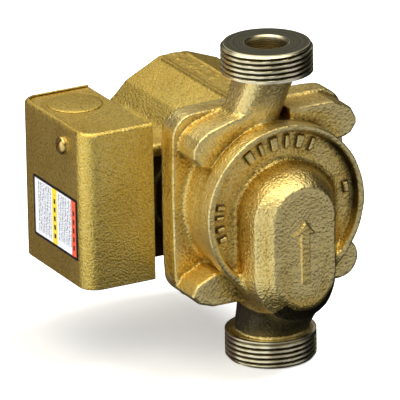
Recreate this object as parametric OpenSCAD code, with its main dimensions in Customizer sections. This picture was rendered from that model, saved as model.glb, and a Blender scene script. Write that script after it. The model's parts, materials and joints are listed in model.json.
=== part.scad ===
// In-line hot-water circulator with a canned, water-lubricated motor.
// +Z runs up the port axis and +Y runs along the motor axis, away from the flow arrow.
// The origin is the centre of the lower (inlet) port face. All sizes are in millimetres.

/* [Ports] */
// Distance between the two port faces
port_length = 150; // [148:1:156]
// Major diameter of the union thread, G 1 1/4
thread_d = 41.91; // [41.5:0.01:42.5]
// Height of each threaded collar
collar_h = 13.4; // [12:0.1:15]
// Diameter of the water bore in each port
port_bore_d = 19; // [18:0.1:20]

/* [Pump housing] */
// Outer diameter of the volute body
volute_d = 77; // [76:0.5:78]
// Outer diameter of the raised rim on the volute's front
rim_d = 80.6; // [80:0.1:82]
// Distance from the port axis forward to the rim's crest
rim_front = 17.6; // [17:0.1:18.5]
// Distance from the port axis forward to the flat face that carries the flow arrow
boss_front = 34.6; // [34:0.1:36]
// Width of the flat face
boss_w = 30.6; // [29:0.1:32]
// Height of the flat face, a shape with round ends
boss_h = 56.6; // [54:0.1:58]
// Full width of the square flanges
flange_w = 88; // [87:0.5:90]
// Full height of the square flanges
flange_h = 89; // [88:0.5:91]
// Half of the distance between neighbouring motor screws
screw_offset = 33.2; // [32.8:0.1:33.6]

/* [Motor] */
// Distance across the motor housing's flats
motor_w = 85; // [84.5:0.1:86]
// Distance from the port axis back to the motor housing's rear face
motor_rear = 95; // [95:0.1:96]
// Outer diameter of the stator's lamination stack
stator_d = 74.8; // [74:0.1:75]
// Diameter of the rotor core
rotor_d = 38; // [37:0.1:38.4]
// Diameter of the shaft
shaft_d = 8; // [7.8:0.1:8]

/* [Terminal box] */
// Width of the box, measured out from the motor
box_depth = 35; // [34.5:0.1:36]
// Length of the box along the motor
box_length = 65.3; // [65:0.1:66]
// Height of the box
box_height = 75; // [75:0.5:77]
// Outer radius of the cover's two upright corners
box_corner_r = 8.5; // [8:0.1:9]
// Diameter of the conduit entry, the hole for a half-inch conduit fitting
entry_d = 22.2; // [22:0.1:22.4]

/* [Hidden] */
$fn = 96;
hull_fn = 32;

cast_bronze = "#b08d3e";
gold_paint = "#b39a45";
stainless = "#c4c6c8";
zinc_plate = "#d0ccb4";
dark_rubber = "#26282a";
carbon_grey = "#3c3d40";
ceramic_white = "#ece9e0";
copper_red = "#b5623a";
core_grey = "#6d7074";
grey_plastic = "#a9acae";

axis_z = port_length / 2;
running_gap = 0.04; // radial clearance of a bearing or a free thread
slide_gap = 0.3;    // clearance between the terminal cover and its base

// Stations along the motor axis, from front to rear
joint_y = 14.5;
flange_front_y = 9;
flange_rear_y = 19.6;
seat_floor_y = 12;
gasket_t = 0.8;
plate_t = 1;
can_t = 0.7;
chamber_front_y = -8;
bearing_front_end_y = 25;
rotor_front_y = 31;
rotor_rear_y = 75;
can_rear_y = 78;
can_cup_y = 88;
nipple_rear_y = motor_rear + 0.4;

// Radii about the motor axis
chamber_r = 33;
seat_r = 40.4;
eye_seat_r = 14.5;
neck_ring_r = 12.6;
bearing_r = 7;
can_r = 20;
nipple_r = 7.6;
vent_thread_r = 4.5;
shaft_r = shaft_d / 2;
rotor_r = rotor_d / 2;
stator_r = stator_d / 2;

// Motor screws, M6 socket heads
m6_r = 3;
m6_head_r = 5;
m6_head_h = 6;
m6_length = 20;

// Terminal box, as planes along X, Y and Z
box_inner_x = -46.5;
box_outer_x = box_inner_x - box_depth;
box_front_y = 23;
box_rear_y = box_front_y + box_length;
box_low_z = axis_z - box_height / 2;
box_top_z = axis_z + box_height / 2;
cover_t = 1.5;
base_t = 1.4;
back_plate_x = box_inner_x - base_t;
panel_drop = 1; // how far the base's end panels sit inside the cover's rims
panel_front_y = box_front_y + cover_t + slide_gap;
panel_rear_y = box_rear_y - cover_t - slide_gap;
panel_outer_x = box_outer_x + cover_t + slide_gap;
entry_x = -62.8;
entry_y = 67.8;
m4_r = 2;
cover_screw_y = 43.9;
cover_screw_z = axis_z + 27.3;
pillar_end_x = box_outer_x + cover_t;
lead_y = 50;
lead_r = 5;

// A shape drawn in X and height above the motor axis, made solid from y0 back to y1
module slab_y(y0, y1) {
    translate([0, y1, axis_z])
        rotate([90, 0, 0])
            linear_extrude(y1 - y0)
                children();
}

// A round bar along Y about the motor axis, or about a line beside it
module bar_y(r, y0, y1, x = 0, up = 0, fn = 96) {
    translate([x, y0, axis_z + up])
        rotate([-90, 0, 0])
            cylinder(r = r, h = y1 - y0, $fn = fn);
}

module ring_y(outer_r, inner_r, y0, y1) {
    difference() {
        bar_y(outer_r, y0, y1);
        bar_y(inner_r, y0 - 1, y1 + 1);
    }
}

// A turned shape about the motor axis, from a list of [radius, y] points
module turned_y(points) {
    translate([0, 0, axis_z])
        rotate([-90, 0, 0])
            rotate_extrude()
                polygon(points);
}

// A bar along X at a given y and z
module bar_x(r, x0, x1, y, z, fn = 96) {
    translate([x0, y, z])
        rotate([0, 90, 0])
            cylinder(r = r, h = x1 - x0, $fn = fn);
}

module ring_x(outer_r, inner_r, x0, x1, y, z) {
    difference() {
        bar_x(outer_r, x0, x1, y, z);
        bar_x(inner_r, x0 - 1, x1 + 1, y, z);
    }
}

module at_screws() {
    for (side = [-1, 1], level = [-1, 1])
        translate([side * screw_offset, 0, level * screw_offset])
            children();
}

module round_square(w, h, r) {
    square([w, h - 2 * r], center = true);
    square([w - 2 * r, h], center = true);
    for (side = [-1, 1], level = [-1, 1])
        translate([side * (w / 2 - r), level * (h / 2 - r)])
            circle(r);
}

// ---- Pump housing ----

collar_chamfer = 1;

module collar_solid() {
    thread_r = thread_d / 2;
    rotate_extrude()
        polygon([
            [0, 0], [thread_r - collar_chamfer, 0], [thread_r, collar_chamfer],
            [thread_r, collar_h - collar_chamfer], [thread_r - collar_chamfer, collar_h], [0, collar_h]
        ]);
}

module volute_solid() {
    turned_y([
        [0, -rim_front + 5], [rim_d / 2 - 6, -rim_front + 5], [rim_d / 2 - 4, -rim_front],
        [rim_d / 2 - 1, -rim_front], [rim_d / 2, -rim_front + 2], [rim_d / 2, -rim_front + 5],
        [volute_d / 2, -rim_front + 10], [volute_d / 2, flange_front_y + 1], [0, flange_front_y + 1]
    ]);
}

// The suction hump: a flat face with round ends in front of a wider body that stands out to the left
module hump_solid() {
    drop = boss_h - boss_w;
    body_x = -3.7;
    body_r = 20.7;
    body_front_y = -27;
    body_rear_y = -rim_front + 4;
    draft = 1.2;
    hull()
        for (up = [0, -drop]) {
            bar_y(boss_w / 2, -boss_front, -boss_front + 1, up = up, fn = hull_fn);
            bar_y(body_r, body_front_y, body_front_y + 1, x = body_x, up = up, fn = hull_fn);
            bar_y(body_r + draft, body_rear_y, body_rear_y + 2, x = body_x, up = up, fn = hull_fn);
        }
}

module lower_neck_solid() {
    foot_r = 16.8;
    drop = boss_h - boss_w;
    side_x = -5.5;
    hull() {
        translate([0, 0, collar_h - 0.5])
            cylinder(r = foot_r, h = 1, $fn = hull_fn);
        bar_y(boss_w / 2, -boss_front + 3, flange_front_y, up = -drop, fn = hull_fn);
        bar_y(boss_w / 2, -boss_front + 8, 0, x = side_x, up = -drop, fn = hull_fn);
    }
}

// The outlet neck is a rounded square that leans to the left and away from the front on its way down
module upper_neck_solid() {
    half_w = 12.6;
    front_r = 8;
    rear_r = 4;
    rear_gap = 0.5;
    hull()
        for (level = [[port_length - collar_h - 0.5, -0.5, -12.3], [axis_z + 36, -8.5, -6.5]])
            for (side = [-1, 1]) {
                translate([level[1] + side * (half_w - front_r), level[2] + front_r, level[0]])
                    cylinder(r = front_r, h = 1, $fn = hull_fn);
                translate([level[1] + side * (half_w - rear_r), joint_y - rear_gap - rear_r, level[0]])
                    cylinder(r = rear_r, h = 1, $fn = hull_fn);
            }
}

// Screw ears, as outlines in X and height above the motor axis
upper_left_ear = [[-38.5, 24], [-30, 21.5], [-8, 24], [-8, 45], [-20.4, 43.7], [-33.6, 39.9], [-38.6, 36.5],
                  [-41.2, 32], [-41.4, 28]];
upper_right_ear = [[8, 20], [36.4, 25.4], [39.8, 27], [42.3, 30.7], [42.4, 33.8], [40, 38.7], [35, 41.6],
                   [30.5, 43.6], [4, 43.6]];
lower_right_ear = [[8, -25], [36, -24.2], [40.4, -27], [42.5, -31.2], [42.2, -35], [39.8, -38.9], [36.2, -41.4],
                   [32, -42.4], [8, -44.5]];
lower_left_ear = [[-8, -27], [-8, -44.9], [-21.6, -45], [-32.7, -44.3], [-39.8, -41.6], [-43.4, -37.8],
                  [-42.8, -34], [-40, -31.6], [-31, -27]];

module ears_solid() {
    ear_front_y = -7;
    slab_y(ear_front_y, flange_front_y + 1)
        for (outline = [upper_left_ear, upper_right_ear, lower_right_ear, lower_left_ear])
            polygon(outline);
}

module flow_arrow() {
    proud = 0.9;
    shaft_half = 2.7;
    head_half = 5.5;
    tail_up = -30;
    head_up = -7;
    tip_up = -0.5;
    slab_y(-boss_front - proud, -boss_front + 0.5)
        polygon([
            [-shaft_half, tail_up], [shaft_half, tail_up], [shaft_half, head_up], [head_half, head_up],
            [0, tip_up], [-head_half, head_up], [-shaft_half, head_up]
        ]);
}

// Water way: up the inlet, forward into the hump, back through the eye, and up the leaning neck to the outlet
module water_way() {
    bend_z = 42;
    hump_y = -21;
    way_r = 9;
    eye_way_r = 10.9;
    straight = collar_h + 2;
    lean = [-9, 4, -31];
    mouth_chamfer = 0.8;
    translate([0, 0, -1])
        cylinder(d = port_bore_d, h = straight + 1);
    translate([0, 0, collar_h])
        rotate([atan2(-hump_y, bend_z - collar_h), 0, 0])
            cylinder(r = way_r, h = norm([hump_y, bend_z - collar_h]));
    translate([0, hump_y, bend_z])
        sphere(r = way_r);
    translate([0, hump_y, bend_z])
        cylinder(r = way_r, h = axis_z - bend_z);
    bar_y(eye_way_r, hump_y, chamber_front_y);
    bar_y(eye_seat_r, chamber_front_y - 4, chamber_front_y + 1);
    bar_y(chamber_r, chamber_front_y, joint_y + 1);
    translate([0, 0, port_length - straight])
        cylinder(d = port_bore_d, h = straight + 1);
    translate([0, 0, port_length - collar_h])
        rotate([0, 0, atan2(lean[1], lean[0])])
            rotate([0, acos(lean[2] / norm(lean)), 0])
                cylinder(r = way_r, h = norm(lean));
    translate([0, 0, port_length - mouth_chamfer])
        cylinder(d1 = port_bore_d, d2 = port_bore_d + 2 * mouth_chamfer + 0.2, h = mouth_chamfer + 0.1);
}

module pump_housing() {
    color(cast_bronze)
        difference() {
            union() {
                collar_solid();
                translate([0, 0, port_length - collar_h])
                    collar_solid();
                volute_solid();
                hump_solid();
                lower_neck_solid();
                upper_neck_solid();
                ears_solid();
                slab_y(flange_front_y, joint_y)
                    round_square(flange_w, flange_h, 11);
                flow_arrow();
            }
            water_way();
            bar_y(seat_r, seat_floor_y, joint_y + 1);
            at_screws()
                bar_y(m6_r + running_gap, joint_y - 18, joint_y + 1);
        }
}

module neck_ring() {
    color(stainless)
        ring_y(eye_seat_r, neck_ring_r, chamber_front_y - 4, chamber_front_y);
}

module housing_gasket() {
    color(dark_rubber)
        ring_y(seat_r - 0.4, seat_r - 3, seat_floor_y, seat_floor_y + gasket_t);
}

// ---- Wet end of the motor ----

module bearing_plate() {
    rim_y = seat_floor_y + gasket_t;
    boss_r = bearing_r + 1.2;
    color(stainless)
        turned_y([
            [bearing_r, rim_y], [seat_r - 0.2, rim_y], [seat_r - 0.2, rim_y + plate_t],
            [boss_r, rim_y + plate_t], [boss_r, bearing_front_end_y], [bearing_r, bearing_front_end_y]
        ]);
}

module front_bearing() {
    color(ceramic_white)
        ring_y(bearing_r, shaft_r + running_gap, seat_floor_y + gasket_t, bearing_front_end_y);
}

// Drawn tube with a flange at the front, a bearing cup at the rear and a threaded vent nipple
module rotor_can() {
    wall = 0.4;
    flange_y = joint_y - can_t;
    thread_r = vent_thread_r + running_gap;
    color(stainless)
        turned_y([
            [can_r, flange_y], [seat_r - 0.2, flange_y], [seat_r - 0.2, joint_y], [can_r + wall, joint_y],
            [can_r + wall, can_rear_y + 0.6], [nipple_r, can_rear_y + 0.6], [nipple_r, nipple_rear_y],
            [thread_r, nipple_rear_y], [thread_r, can_cup_y], [bearing_r, can_cup_y],
            [bearing_r, can_rear_y], [can_r, can_rear_y]
        ]);
}

module rear_bearing() {
    color(ceramic_white)
        ring_y(bearing_r, shaft_r + running_gap, can_rear_y + 0.6, can_cup_y - 2);
}

// ---- Motor ----

// One quarter of the motor's outline, then mirrored: flats joined by slanting facets
motor_quarter = [[7, motor_w / 2], [24, 33.8], [33.8, 24], [motor_w / 2, 7]];

module motor_outline() {
    polygon([
        for (p = motor_quarter) p,
        for (i = [3:-1:0]) [motor_quarter[i][0], -motor_quarter[i][1]],
        for (p = motor_quarter) [-p[0], -p[1]],
        for (i = [3:-1:0]) [-motor_quarter[i][0], motor_quarter[i][1]]
    ]);
}

// The pad on the motor's side that the terminal box is screwed to
pad_low_z = axis_z - 30;
pad_high_z = axis_z + 25;

module box_pad() {
    pad_t = 12;
    translate([box_inner_x, box_front_y + pad_inset_y, pad_low_z])
        cube([pad_t, box_length - 2 * pad_inset_y, pad_high_z - pad_low_z]);
}

pad_inset_y = 5;

base_screw_places = [
    for (y = [box_front_y + 8.5, box_rear_y - 8.5])
        for (z = [pad_low_z + 7, pad_high_z - 5])
            [y, z]
];
earth_place = [box_front_y + 34, axis_z + 22];
base_screw_length = 8;

module motor_housing() {
    rear_wall = 5;
    rear_disc_r = 38;
    color(gold_paint)
        difference() {
            union() {
                slab_y(joint_y, flange_rear_y)
                    round_square(flange_w, flange_h, 11);
                slab_y(flange_rear_y, motor_rear - 3)
                    motor_outline();
                bar_y(rear_disc_r, motor_rear - 4, motor_rear);
                box_pad();
            }
            bar_y(stator_r, joint_y - 1, motor_rear - rear_wall);
            bar_y(nipple_r + 0.2, motor_rear - rear_wall - 1, motor_rear + 1);
            bar_x(lead_r, box_inner_x - 1, -stator_r + 2, lead_y, axis_z);
            at_screws()
                bar_y(m6_r + 0.3, joint_y - 1, flange_rear_y + 1);
            for (place = concat(base_screw_places, [earth_place]))
                bar_x(m4_r + running_gap, box_inner_x - 1, box_inner_x + base_screw_length, place[0], place[1]);
        }
}

// Lamination stack with round winding slots and a groove on the box side for the leads
lead_groove_depth = 3.2;

module stator_core() {
    slots = 12;
    inner_r = can_r + 0.7;
    slot_centre_r = 25;
    slot_r = 3.2;
    slot_mouth = 1.8;
    groove_w = 6.4;
    color(core_grey)
        slab_y(rotor_front_y, rotor_rear_y)
            difference() {
                circle(stator_r);
                circle(inner_r);
                translate([-stator_r - 1, -groove_w / 2])
                    square([lead_groove_depth + 1, groove_w]);
                for (i = [0:slots - 1])
                    rotate(i * 360 / slots) {
                        translate([slot_centre_r, 0])
                            circle(slot_r, $fn = 24);
                        translate([inner_r - 1, -slot_mouth / 2])
                            square([slot_centre_r - inner_r, slot_mouth]);
                    }
            }
}

// The coil ends that stand out of the core, as two padded rings
module stator_windings() {
    inner_r = can_r + 1.6;
    outer_r = 33;
    bevel = 2.5;
    color(copper_red)
        for (span = [[rotor_front_y - 8, rotor_front_y], [rotor_rear_y, rotor_rear_y + 9]])
            turned_y([
                [inner_r, span[0] + bevel], [inner_r + bevel, span[0]], [outer_r - bevel, span[0]],
                [outer_r, span[0] + bevel], [outer_r, span[1] - bevel], [outer_r - bevel, span[1]],
                [inner_r + bevel, span[1]], [inner_r, span[1] - bevel]
            ]);
}

module motor_screws() {
    socket_r = 2.9;
    color(zinc_plate)
        at_screws()
            difference() {
                union() {
                    bar_y(m6_r, flange_rear_y - m6_length, flange_rear_y);
                    bar_y(m6_head_r, flange_rear_y, flange_rear_y + m6_head_h);
                }
                bar_y(socket_r, flange_rear_y + 3, flange_rear_y + m6_head_h + 1, fn = 6);
            }
}

module rear_plate() {
    plate_outer_r = 31;
    plate_inner_r = 11;
    color(stainless)
        ring_y(plate_outer_r, plate_inner_r, motor_rear, motor_rear + 0.5);
}

module lead_grommet() {
    hole_r = 3.2;
    color(dark_rubber)
        ring_x(lead_r, hole_r, back_plate_x, box_inner_x + 4, lead_y, axis_z);
}

// Three insulated leads from the rear coil end, along the stack's groove and through the grommet to the terminals
lead_wire_r = 0.8;
terminal_pitch = 8;
block_front_y = box_front_y + 15.5;
block_top_z = axis_z - 9;

module stator_leads() {
    lead_spacing = 1.9;
    drop_spacing = 2.2;
    groove_x = -stator_r + 1.8;
    end_gap = 1;
    color("#7a2f25")
        for (i = [-1:1]) {
            z = axis_z + lead_spacing * i;
            drop_x = back_plate_x - 6 - drop_spacing * i;
            end_y = block_front_y + terminal_pitch * (i + 1.5);
            bend = [0, end_y - lead_y, block_top_z - z];
            bar_y(lead_wire_r, lead_y, rotor_rear_y + 4, x = groove_x, up = lead_spacing * i, fn = 24);
            bar_x(lead_wire_r, drop_x, groove_x, lead_y, z, fn = 24);
            for (x = [drop_x, groove_x])
                translate([x, lead_y, z])
                    sphere(r = lead_wire_r, $fn = 24);
            translate([drop_x, lead_y, z])
                rotate([-atan2(bend[1], bend[2]), 0, 0])
                    cylinder(r = lead_wire_r, h = norm(bend) - end_gap, $fn = 24);
        }
}

// ---- Terminal box ----

// Plan of the box, seen from above: square at the motor, round at the two outer corners
module box_plan(x0, x1, y0, y1, r) {
    translate([x0 + r, y0])
        square([x1 - x0 - r, y1 - y0]);
    translate([x0, y0 + r])
        square([x1 - x0, y1 - y0 - 2 * r]);
    for (y = [y0 + r, y1 - r])
        translate([x0 + r, y])
            circle(r);
}

// Back plate with a panel at each end; the lower panel is drilled for a conduit fitting
module terminal_base() {
    panel_low_z = box_low_z + panel_drop;
    panel_high_z = box_top_z - panel_drop;
    color(gold_paint)
        difference() {
            union() {
                translate([back_plate_x, panel_front_y, panel_low_z])
                    cube([base_t, panel_rear_y - panel_front_y, panel_high_z - panel_low_z]);
                for (z = [panel_low_z, panel_high_z - base_t])
                    translate([0, 0, z])
                        linear_extrude(base_t)
                            box_plan(panel_outer_x, box_inner_x, panel_front_y, panel_rear_y,
                                     box_corner_r - cover_t - slide_gap);
            }
            for (z = [panel_low_z, panel_high_z - base_t])
                translate([entry_x, entry_y, z - 1])
                    cylinder(d = entry_d, h = base_t + 2);
            bar_x(lead_r, back_plate_x - 1, box_inner_x + 1, lead_y, axis_z);
            for (place = concat(base_screw_places, [earth_place]))
                bar_x(m4_r + 0.2, back_plate_x - 1, box_inner_x + 1, place[0], place[1]);
        }
}

module slotted_head_x(r, h, x0, y, z) {
    slot_w = 1.2;
    slot_depth = 1.2;
    difference() {
        bar_x(r, x0 - h, x0, y, z);
        translate([x0 - h - 1, y - slot_w / 2, z - r - 1])
            cube([slot_depth + 1, slot_w, 2 * r + 2]);
    }
}

module base_screws() {
    color(zinc_plate)
        for (place = base_screw_places) {
            slotted_head_x(3.8, 2.4, back_plate_x, place[0], place[1]);
            bar_x(m4_r, back_plate_x - 0.1, box_inner_x + base_screw_length - 1, place[0], place[1]);
        }
}

// The spacer that the cover screw pulls against
module cover_pillar() {
    color(zinc_plate)
        difference() {
            bar_x(4, pillar_end_x, back_plate_x, cover_screw_y, cover_screw_z, fn = 6);
            bar_x(m4_r + running_gap, pillar_end_x - 1, pillar_end_x + 12, cover_screw_y, cover_screw_z);
        }
}

block_h = 22;
terminal_r = 2.6;
terminal_floor_x = back_plate_x - 5;

// Calls its children at each of the six terminals, three above and three below
module at_terminals() {
    for (i = [0:2])
        for (z = [block_top_z - 5, block_top_z - block_h + 5])
            translate([0, block_front_y + terminal_pitch * (i + 0.5), z])
                children();
}

module terminal_block() {
    block_depth = 13;
    color(grey_plastic)
        difference() {
            translate([back_plate_x - block_depth, block_front_y, block_top_z - block_h])
                cube([block_depth, 3 * terminal_pitch, block_h]);
            at_terminals()
                bar_x(terminal_r, back_plate_x - block_depth - 1, terminal_floor_x, 0, 0);
        }
}

module terminal_screws() {
    color("#c9a24a")
        at_terminals()
            slotted_head_x(terminal_r - 0.1, 4, terminal_floor_x, 0, 0);
}

cap_r = 9.5;
cap_x = back_plate_x - cap_r - 0.8;
cap_y = panel_rear_y - cap_r - 3;
cap_low_z = axis_z - 15;

// Motor capacitor standing on its two blade terminals
module capacitor() {
    cap_h = 30;
    blade_w = 3;
    blade_t = 0.8;
    blade_h = 5;
    blade_offset = 4;
    color("#d8d8d4") {
        translate([cap_x, cap_y, cap_low_z])
            cylinder(r = cap_r, h = cap_h);
        for (side = [-1, 1])
            translate([cap_x - blade_t / 2, cap_y + side * blade_offset - blade_w / 2, cap_low_z - blade_h])
                cube([blade_t, blade_w, blade_h]);
    }
}

// Band round the capacitor, riveted to the back plate
module capacitor_clip() {
    clip_w = 8;
    clip_t = 0.7;
    foot_front_y = cap_y - cap_r - 4;
    foot_length = 2 * cap_r + 6.5;
    translate([0, 0, cap_low_z + 11])
        color(stainless)
            difference() {
                union() {
                    translate([cap_x, cap_y, 0])
                        cylinder(r = cap_r + clip_t, h = clip_w);
                    translate([back_plate_x - clip_t, foot_front_y, 0])
                        cube([clip_t, foot_length, clip_w]);
                }
                translate([cap_x, cap_y, -1])
                    cylinder(r = cap_r + 0.05, h = clip_w + 2);
            }
}

// Earthing screw on a serrated washer, shown as one piece
module earth_screw() {
    y = earth_place[0];
    z = earth_place[1];
    lug_t = 1;
    color("#c9a24a") {
        slotted_head_x(3.6, 2.6, back_plate_x - lug_t, y, z);
        bar_x(4.6, back_plate_x - lug_t, back_plate_x, y, z);
        bar_x(m4_r, back_plate_x - 0.1, box_inner_x + base_screw_length - 1, y, z);
    }
}

// Pressed disc that closes the upper conduit entry
module conduit_blank() {
    panel_top_z = box_top_z - panel_drop;
    plug_r = entry_d / 2 - 0.1;
    lip_r = 12.8;
    lip_t = 0.9;
    color(gold_paint)
        translate([entry_x, entry_y, panel_top_z])
            rotate_extrude()
                polygon([
                    [0, -3], [plug_r - 1, -3], [plug_r, -2], [plug_r, 0], [lip_r, 0],
                    [lip_r, lip_t - 0.5], [lip_r - 0.5, lip_t], [0, lip_t]
                ]);
}

module terminal_cover() {
    color(gold_paint)
        difference() {
            translate([0, 0, box_low_z])
                linear_extrude(box_height)
                    difference() {
                        box_plan(box_outer_x, box_inner_x, box_front_y, box_rear_y, box_corner_r);
                        box_plan(box_outer_x + cover_t, box_inner_x + 1, box_front_y + cover_t,
                                 box_rear_y - cover_t, box_corner_r - cover_t);
                    }
            bar_x(m4_r + 0.3, box_outer_x - 1, box_outer_x + cover_t + 1, cover_screw_y, cover_screw_z);
        }
}

module cover_label() {
    film_t = 0.2;
    label_l = 43.5;
    label_h = 29.3;
    color("white")
        translate([box_outer_x - film_t, box_front_y + 8, axis_z - 24.7])
            cube([film_t, label_l, label_h]);
}

washer_t = 0.5;

module cover_screw_washer() {
    color(zinc_plate)
        ring_x(4.4, m4_r + running_gap, box_outer_x - washer_t, box_outer_x, cover_screw_y, cover_screw_z);
}

module cover_screw() {
    head_x = box_outer_x - washer_t;
    reach_in = 6;
    color(zinc_plate) {
        slotted_head_x(4.3, 2.3, head_x, cover_screw_y, cover_screw_z);
        bar_x(m4_r, head_x - 0.1, pillar_end_x + reach_in, cover_screw_y, cover_screw_z);
    }
}

// ---- Rotor ----

module impeller() {
    disc_r = 30;
    shroud_t = 1.5;
    front_y = -5;
    back_y = 3.5;
    hub_r = 7.5;
    eye_r = 10.9;
    hub_front_y = -3.5;
    hub_rear_y = 9;
    blades = 6;
    blade_t = 1.6;
    blade_curve_r = 17;
    blade_offset = 16;
    color("#5b5f63") {
        ring_y(disc_r, shaft_r, back_y, back_y + shroud_t);
        ring_y(hub_r, shaft_r, hub_front_y, hub_rear_y);
        ring_y(disc_r, eye_r, front_y, front_y + shroud_t);
        ring_y(neck_ring_r - 0.25, eye_r, -11, front_y + 0.5);
        slab_y(front_y + shroud_t - 0.2, back_y + 0.2)
            for (i = [0:blades - 1])
                rotate(i * 360 / blades)
                    intersection() {
                        difference() {
                            circle(disc_r - 0.3);
                            circle(eye_r + 1.5);
                        }
                        translate([0, blade_offset])
                            difference() {
                                circle(blade_curve_r + blade_t / 2);
                                circle(blade_curve_r - blade_t / 2);
                                translate([-2 * disc_r, -disc_r])
                                    square(2 * disc_r);
                            }
                    }
    }
}

module impeller_lock() {
    color(stainless)
        ring_y(6.2, shaft_r, -7.5, -3.5);
}

// Hollow ceramic shaft; the bore lets air out through the vent
module shaft() {
    vent_bore_r = 1.5;
    color(ceramic_white)
        ring_y(shaft_r, vent_bore_r, -9, can_cup_y - 1);
}

end_disc_t = 1.2;

module rotor_core() {
    color(core_grey)
        ring_y(rotor_r, shaft_r, rotor_front_y, rotor_rear_y);
}

// Thin corrosion-proof jacket: a tube with a disc at each end
module rotor_sleeve() {
    sleeve_r = rotor_r + 0.3;
    color(stainless)
        turned_y([
            [shaft_r, rotor_front_y - end_disc_t], [sleeve_r, rotor_front_y - end_disc_t],
            [sleeve_r, rotor_rear_y + end_disc_t], [shaft_r, rotor_rear_y + end_disc_t],
            [shaft_r, rotor_rear_y], [rotor_r, rotor_rear_y], [rotor_r, rotor_front_y],
            [shaft_r, rotor_front_y]
        ]);
}

thrust_y = bearing_front_end_y + 0.3;

module thrust_bearing() {
    color(carbon_grey)
        ring_y(8.5, shaft_r, thrust_y, thrust_y + 3);
}

module thrust_mount() {
    color(dark_rubber)
        ring_y(8.5, shaft_r, thrust_y + 3, rotor_front_y - end_disc_t);
}

// ---- Vent plug ----

vent_gasket_t = 1;

module vent_gasket() {
    color(dark_rubber)
        ring_y(8.6, vent_thread_r + running_gap, nipple_rear_y, nipple_rear_y + vent_gasket_t);
}

module vent_plug() {
    head_r = 9;
    head_y = nipple_rear_y + vent_gasket_t;
    head_h = 4.2;
    slot_w = 2;
    color("#b9974a")
        difference() {
            union() {
                bar_y(vent_thread_r, can_cup_y + 1, head_y + 0.1);
                turned_y([
                    [0, head_y], [head_r, head_y], [head_r, head_y + head_h - 0.8],
                    [head_r - 0.8, head_y + head_h], [0, head_y + head_h]
                ]);
            }
            translate([-head_r - 1, head_y + head_h - 2, axis_z - slot_w / 2])
                cube([2 * head_r + 2, 3, slot_w]);
        }
}

pump_housing();
neck_ring();
housing_gasket();
bearing_plate();
front_bearing();
rotor_can();
rear_bearing();
motor_housing();
stator_core();
stator_windings();
motor_screws();
rear_plate();
lead_grommet();
stator_leads();
terminal_base();
base_screws();
cover_pillar();
terminal_block();
terminal_screws();
capacitor();
capacitor_clip();
earth_screw();
conduit_blank();
impeller();
impeller_lock();
shaft();
rotor_core();
rotor_sleeve();
thrust_bearing();
thrust_mount();
vent_gasket();
vent_plug();
terminal_cover();
cover_label();
cover_screw_washer();
cover_screw();
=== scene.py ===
"""Looks of the circulator pump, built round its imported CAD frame.

Castings are drawn as distance fields on a grid and turned into smooth meshes, sheet and turned pieces are built
directly. Sizes ending in _mm and all field work are in millimetres; Blender objects are in metres.
"""

import json
import math
from types import SimpleNamespace

import bmesh
import bpy
import numpy as np
import openvdb
from mathutils import Matrix, Vector


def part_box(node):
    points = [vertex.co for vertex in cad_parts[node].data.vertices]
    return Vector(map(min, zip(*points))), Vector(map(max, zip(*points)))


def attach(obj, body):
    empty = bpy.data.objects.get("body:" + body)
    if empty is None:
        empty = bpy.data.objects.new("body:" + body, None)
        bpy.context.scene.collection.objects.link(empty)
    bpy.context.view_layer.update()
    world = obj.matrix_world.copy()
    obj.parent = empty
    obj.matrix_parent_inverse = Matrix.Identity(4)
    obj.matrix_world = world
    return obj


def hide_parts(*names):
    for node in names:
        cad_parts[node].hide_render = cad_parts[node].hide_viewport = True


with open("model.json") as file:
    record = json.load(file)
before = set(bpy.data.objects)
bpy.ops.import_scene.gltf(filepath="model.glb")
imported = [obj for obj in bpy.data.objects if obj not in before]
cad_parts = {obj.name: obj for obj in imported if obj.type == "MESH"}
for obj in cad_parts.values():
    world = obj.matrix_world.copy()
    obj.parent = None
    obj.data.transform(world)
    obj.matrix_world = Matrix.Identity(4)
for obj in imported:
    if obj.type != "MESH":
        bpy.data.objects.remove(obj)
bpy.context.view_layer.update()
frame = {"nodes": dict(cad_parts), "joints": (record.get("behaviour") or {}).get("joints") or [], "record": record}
nodes = frame["nodes"]
joints = {joint["name"]: joint for joint in frame["joints"]}
mounts = {mount["name"]: mount for mount in frame["record"]["mounts"]}

MM = 0.001


def box_mm(node):
    """Lowest and highest corner of a CAD node, in millimetres."""
    low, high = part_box(node)
    return np.array(low) / MM, np.array(high) / MM


# ---- Driving sizes, read from the frame where it holds them ----

AXIS_Z = joints["rotor_spin"]["pos_m"][2] / MM
THREAD_R = mounts["inlet_union"]["dims"]["r_mm"]
BORE_R = mounts["inlet_bore"]["dims"]["r_mm"]
housing_low, housing_high = box_mm("pump_housing")
motor_low, motor_high = box_mm("motor_housing")
cover_low, cover_high = box_mm("terminal_cover")
PORT_LENGTH = housing_high[2]
COLLAR_H = 13.4
THREAD_PITCH = 2.309
THREAD_DEPTH = 1.479
FLANGE_SCREW_OFFSET = 33.2
HOLLOW_MM = 3.2
HOUSING_STEP, MOTOR_STEP = 0.52, 0.7
FLANGE_W = housing_high[0] - housing_low[0]
FLANGE_H = motor_high[2] - motor_low[2]
BOSS_FRONT = housing_low[1] + 0.9
JOINT_Y = housing_high[1]
MOTOR_REAR = motor_high[1]
ARROW_X = -0.5
ARROW = [(-2.6, -30.0), (2.6, -30.0), (2.6, -6.2), (5.6, -6.2), (0, 0.2), (-5.6, -6.2), (-2.6, -6.2)]


# ---- Distance fields ----


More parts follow.
